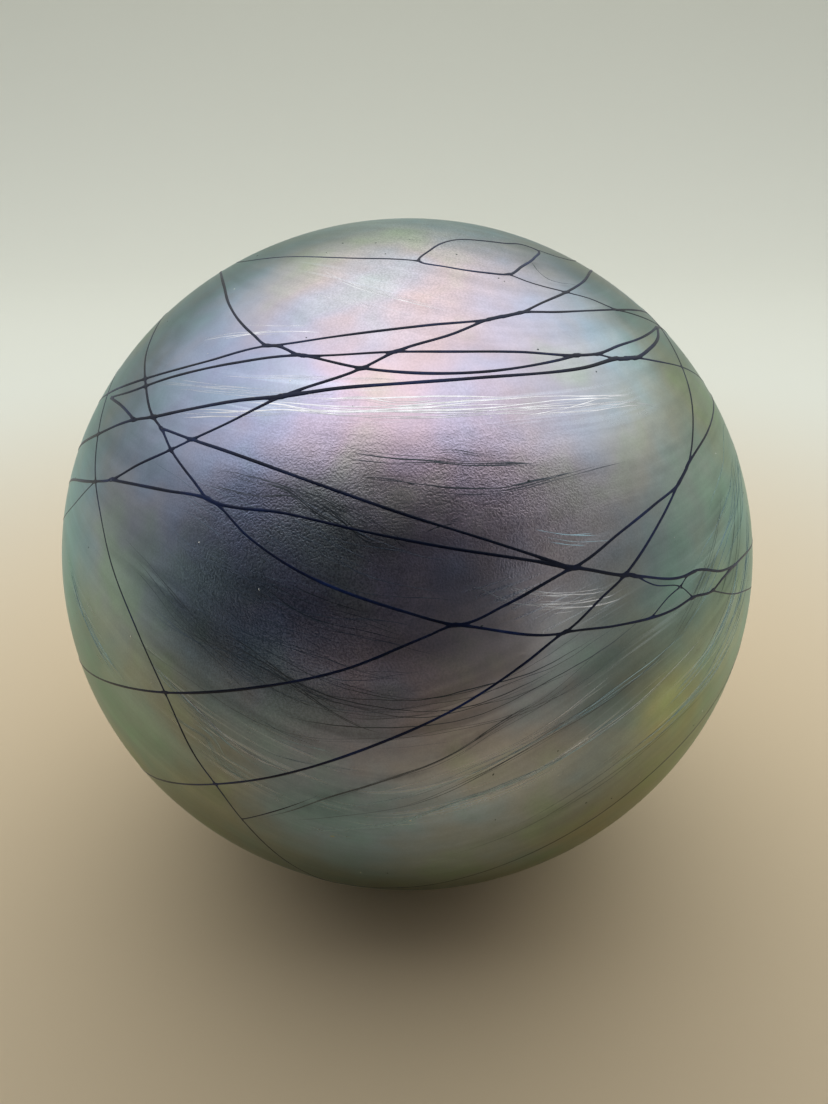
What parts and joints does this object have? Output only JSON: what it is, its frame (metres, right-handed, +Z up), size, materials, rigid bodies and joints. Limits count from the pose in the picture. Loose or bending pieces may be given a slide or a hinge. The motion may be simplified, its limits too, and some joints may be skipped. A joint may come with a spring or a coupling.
{
  "type": "art glass bowl",
  "caption": "Globe-shaped cased glass bowl with an incurved, back-leaning mouth, a ground flat foot and dark glass threads trailed over an iridescent satin skin.",
  "frame": {"origin": "on the ground foot, under the middle of the globe", "axes": "+Z up; -Y is the front; the mouth opens upwards and to the rear, towards +Y and +Z; +X to the right seen from the front"},
  "size_m": [0.1177, 0.1152, 0.112],
  "materials": {
    "casing_glass": "satin iridescent lustre, sea green to lilac",
    "lining_glass": "smooth fire-polished pale sea-green glass",
    "trail_glass": "smooth blue-black glass thread, fused on"
  },
  "bodies": {
    "root": {"outer_casing": "casing_glass", "inner_casing": "lining_glass", "crown_loop": "trail_glass", "thick_band": "trail_glass", "long_sweep": "trail_glass", "upper_band": "trail_glass", "middle_band": "trail_glass", "long_diagonal": "trail_glass", "lower_diagonal": "trail_glass", "left_hook": "trail_glass", "middle_diagonal": "trail_glass", "rising_sweep": "trail_glass", "falling_sweep": "trail_glass", "meridian_trail": "trail_glass", "right_branch": "trail_glass", "crown_left": "trail_glass", "crown_right": "trail_glass", "crown_back": "trail_glass", "left_link": "trail_glass", "left_spur": "trail_glass", "base_band": "trail_glass", "right_spur": "trail_glass", "lower_spur": "trail_glass", "web_long": "trail_glass", "web_upper": "trail_glass", "web_lower": "trail_glass"}
  },
  "joints": []
}
